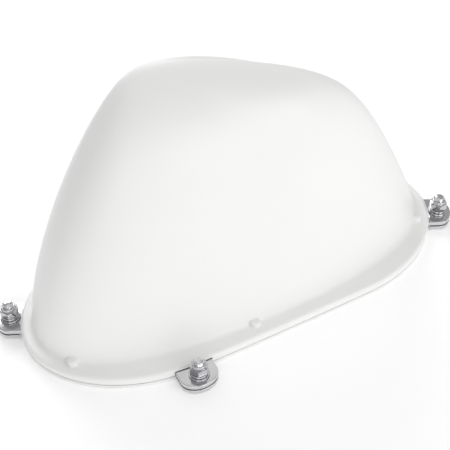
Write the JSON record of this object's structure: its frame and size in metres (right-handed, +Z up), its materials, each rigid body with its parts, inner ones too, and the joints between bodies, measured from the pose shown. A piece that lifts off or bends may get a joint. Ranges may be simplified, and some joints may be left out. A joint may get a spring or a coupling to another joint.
{
  "type": "satellite antenna dome",
  "caption": "Oval roof-mounted satellite antenna: asymmetric white hood on a shallow tray, bolted feet, and a motor-driven reflector inside that turns, tilts and skews its receiver.",
  "frame": {"origin": "on the roof plane, under the centre of the tray and of the pattern of four feet", "axes": "+X along the tray's length towards its right end seen from the front, +Y from the front to the back, +Z up"},
  "size_m": [0.5764, 0.297, 0.295],
  "materials": {
    "white_gloss_shell": "smooth moulded and painted, satin-gloss white",
    "white_tray": "smooth moulded white tray",
    "stainless_steel": "polished stainless steel",
    "black_rubber": "matt black rubber",
    "zinc_plated_steel": "bright zinc plate",
    "aluminium_plate": "bead-blasted aluminium",
    "motor_can": "black painted steel can",
    "white_acetal": "natural acetal",
    "sintered_bronze": "sintered bronze",
    "grey_head_case": "mid-grey moulding",
    "green_circuit_board": "green solder mask",
    "black_plastic": "black moulding",
    "light_grey_dish": "light grey powder coat"
  },
  "bodies": {
    "base": {"azimuth_bearing": "zinc_plated_steel", "azimuth_motor": "motor_can", "azimuth_motor_bracket": "aluminium_plate", "azimuth_retainer": "zinc_plated_steel", "base_tray": "white_tray", "cable_grommet": "black_rubber", "coax_socket_1": "zinc_plated_steel", "coax_socket_2": "zinc_plated_steel", "control_board": "green_circuit_board", "flat_washer_back": "stainless_steel", "flat_washer_front": "stainless_steel", "flat_washer_left": "stainless_steel", "flat_washer_right": "stainless_steel", "hood_screw_back": "stainless_steel", "hood_screw_front": "stainless_steel", "hood_screw_left_back": "stainless_steel", "hood_screw_left_front": "stainless_steel", "hood_screw_right_back": "stainless_steel", "hood_screw_right_front": "stainless_steel", "hood_shell": "white_gloss_shell", "isolation_pad_back": "black_rubber", "isolation_pad_front": "black_rubber", "isolation_pad_left": "black_rubber", "isolation_pad_right": "black_rubber", "lock_nut_back": "stainless_steel", "lock_nut_front": "stainless_steel", "lock_nut_left": "stainless_steel", "lock_nut_right": "stainless_steel", "mounting_lug_back": "stainless_steel", "mounting_lug_front": "stainless_steel", "mounting_lug_left": "stainless_steel", "mounting_lug_right": "stainless_steel", "perimeter_gasket": "black_rubber", "roof_plate_back": "stainless_steel", "roof_plate_front": "stainless_steel", "roof_plate_left": "stainless_steel", "roof_plate_right": "stainless_steel", "spring_washer_back": "stainless_steel", "spring_washer_front": "stainless_steel", "spring_washer_left": "stainless_steel", "spring_washer_right": "stainless_steel", "tuner_shield": "zinc_plated_steel", "vent_plug": "black_plastic"},
    "turret": {"azimuth_gear": "white_acetal", "yoke_frame": "aluminium_plate", "elevation_bush_left": "sintered_bronze", "elevation_bush_right": "sintered_bronze", "elevation_motor": "motor_can"},
    "azimuth_drive_pinion": {"azimuth_pinion": "sintered_bronze"},
    "dish": {"elevation_shaft": "stainless_steel", "elevation_sector": "white_acetal", "dish_bracket": "aluminium_plate", "reflector": "light_grey_dish", "feed_arm": "aluminium_plate", "head_holder": "aluminium_plate", "skew_motor": "motor_can"},
    "elevation_drive_pinion": {"elevation_pinion": "sintered_bronze"},
    "receiver": {"receiver_head": "grey_head_case", "skew_gear": "white_acetal"},
    "skew_drive_pinion": {"skew_pinion": "sintered_bronze"}
  },
  "joints": [
    {"name": "azimuth", "type": "hinge", "parent": "base", "child": "turret", "pos_m": [0, 0, 0], "axis": [0, 0, 1], "range_deg": [-18, 18]},
    {"name": "azimuth_pinion_spin", "type": "hinge", "parent": "base", "child": "azimuth_drive_pinion", "pos_m": [0.063, 0, 0], "axis": [0, 0, 1], "range_deg": [-109, 109]},
    {"name": "elevation", "type": "hinge", "parent": "turret", "child": "dish", "pos_m": [0, 0.03, 0.112], "axis": [1, 0, 0], "range_deg": [-15, 12]},
    {"name": "elevation_pinion_spin", "type": "hinge", "parent": "turret", "child": "elevation_drive_pinion", "pos_m": [0, 0.0525, 0.07303], "axis": [1, 0, 0], "range_deg": [-49, 61]},
    {"name": "skew", "type": "hinge", "parent": "dish", "child": "receiver", "pos_m": [0, -0.04044, 0.08818], "axis": [0, 0.7997, 0.6004], "range_deg": [-45, 45]},
    {"name": "skew_pinion_spin", "type": "hinge", "parent": "dish", "child": "skew_drive_pinion", "pos_m": [0.021, -0.04044, 0.08818], "axis": [0, 0.7997, 0.6004], "range_deg": [-145, 145]}
  ],
  "couplings": [
    {"joint": "azimuth_pinion_spin", "follows": "azimuth", "ratio": -6},
    {"joint": "elevation_pinion_spin", "follows": "elevation", "ratio": -4},
    {"joint": "skew_pinion_spin", "follows": "skew", "ratio": -3.2}
  ]
}
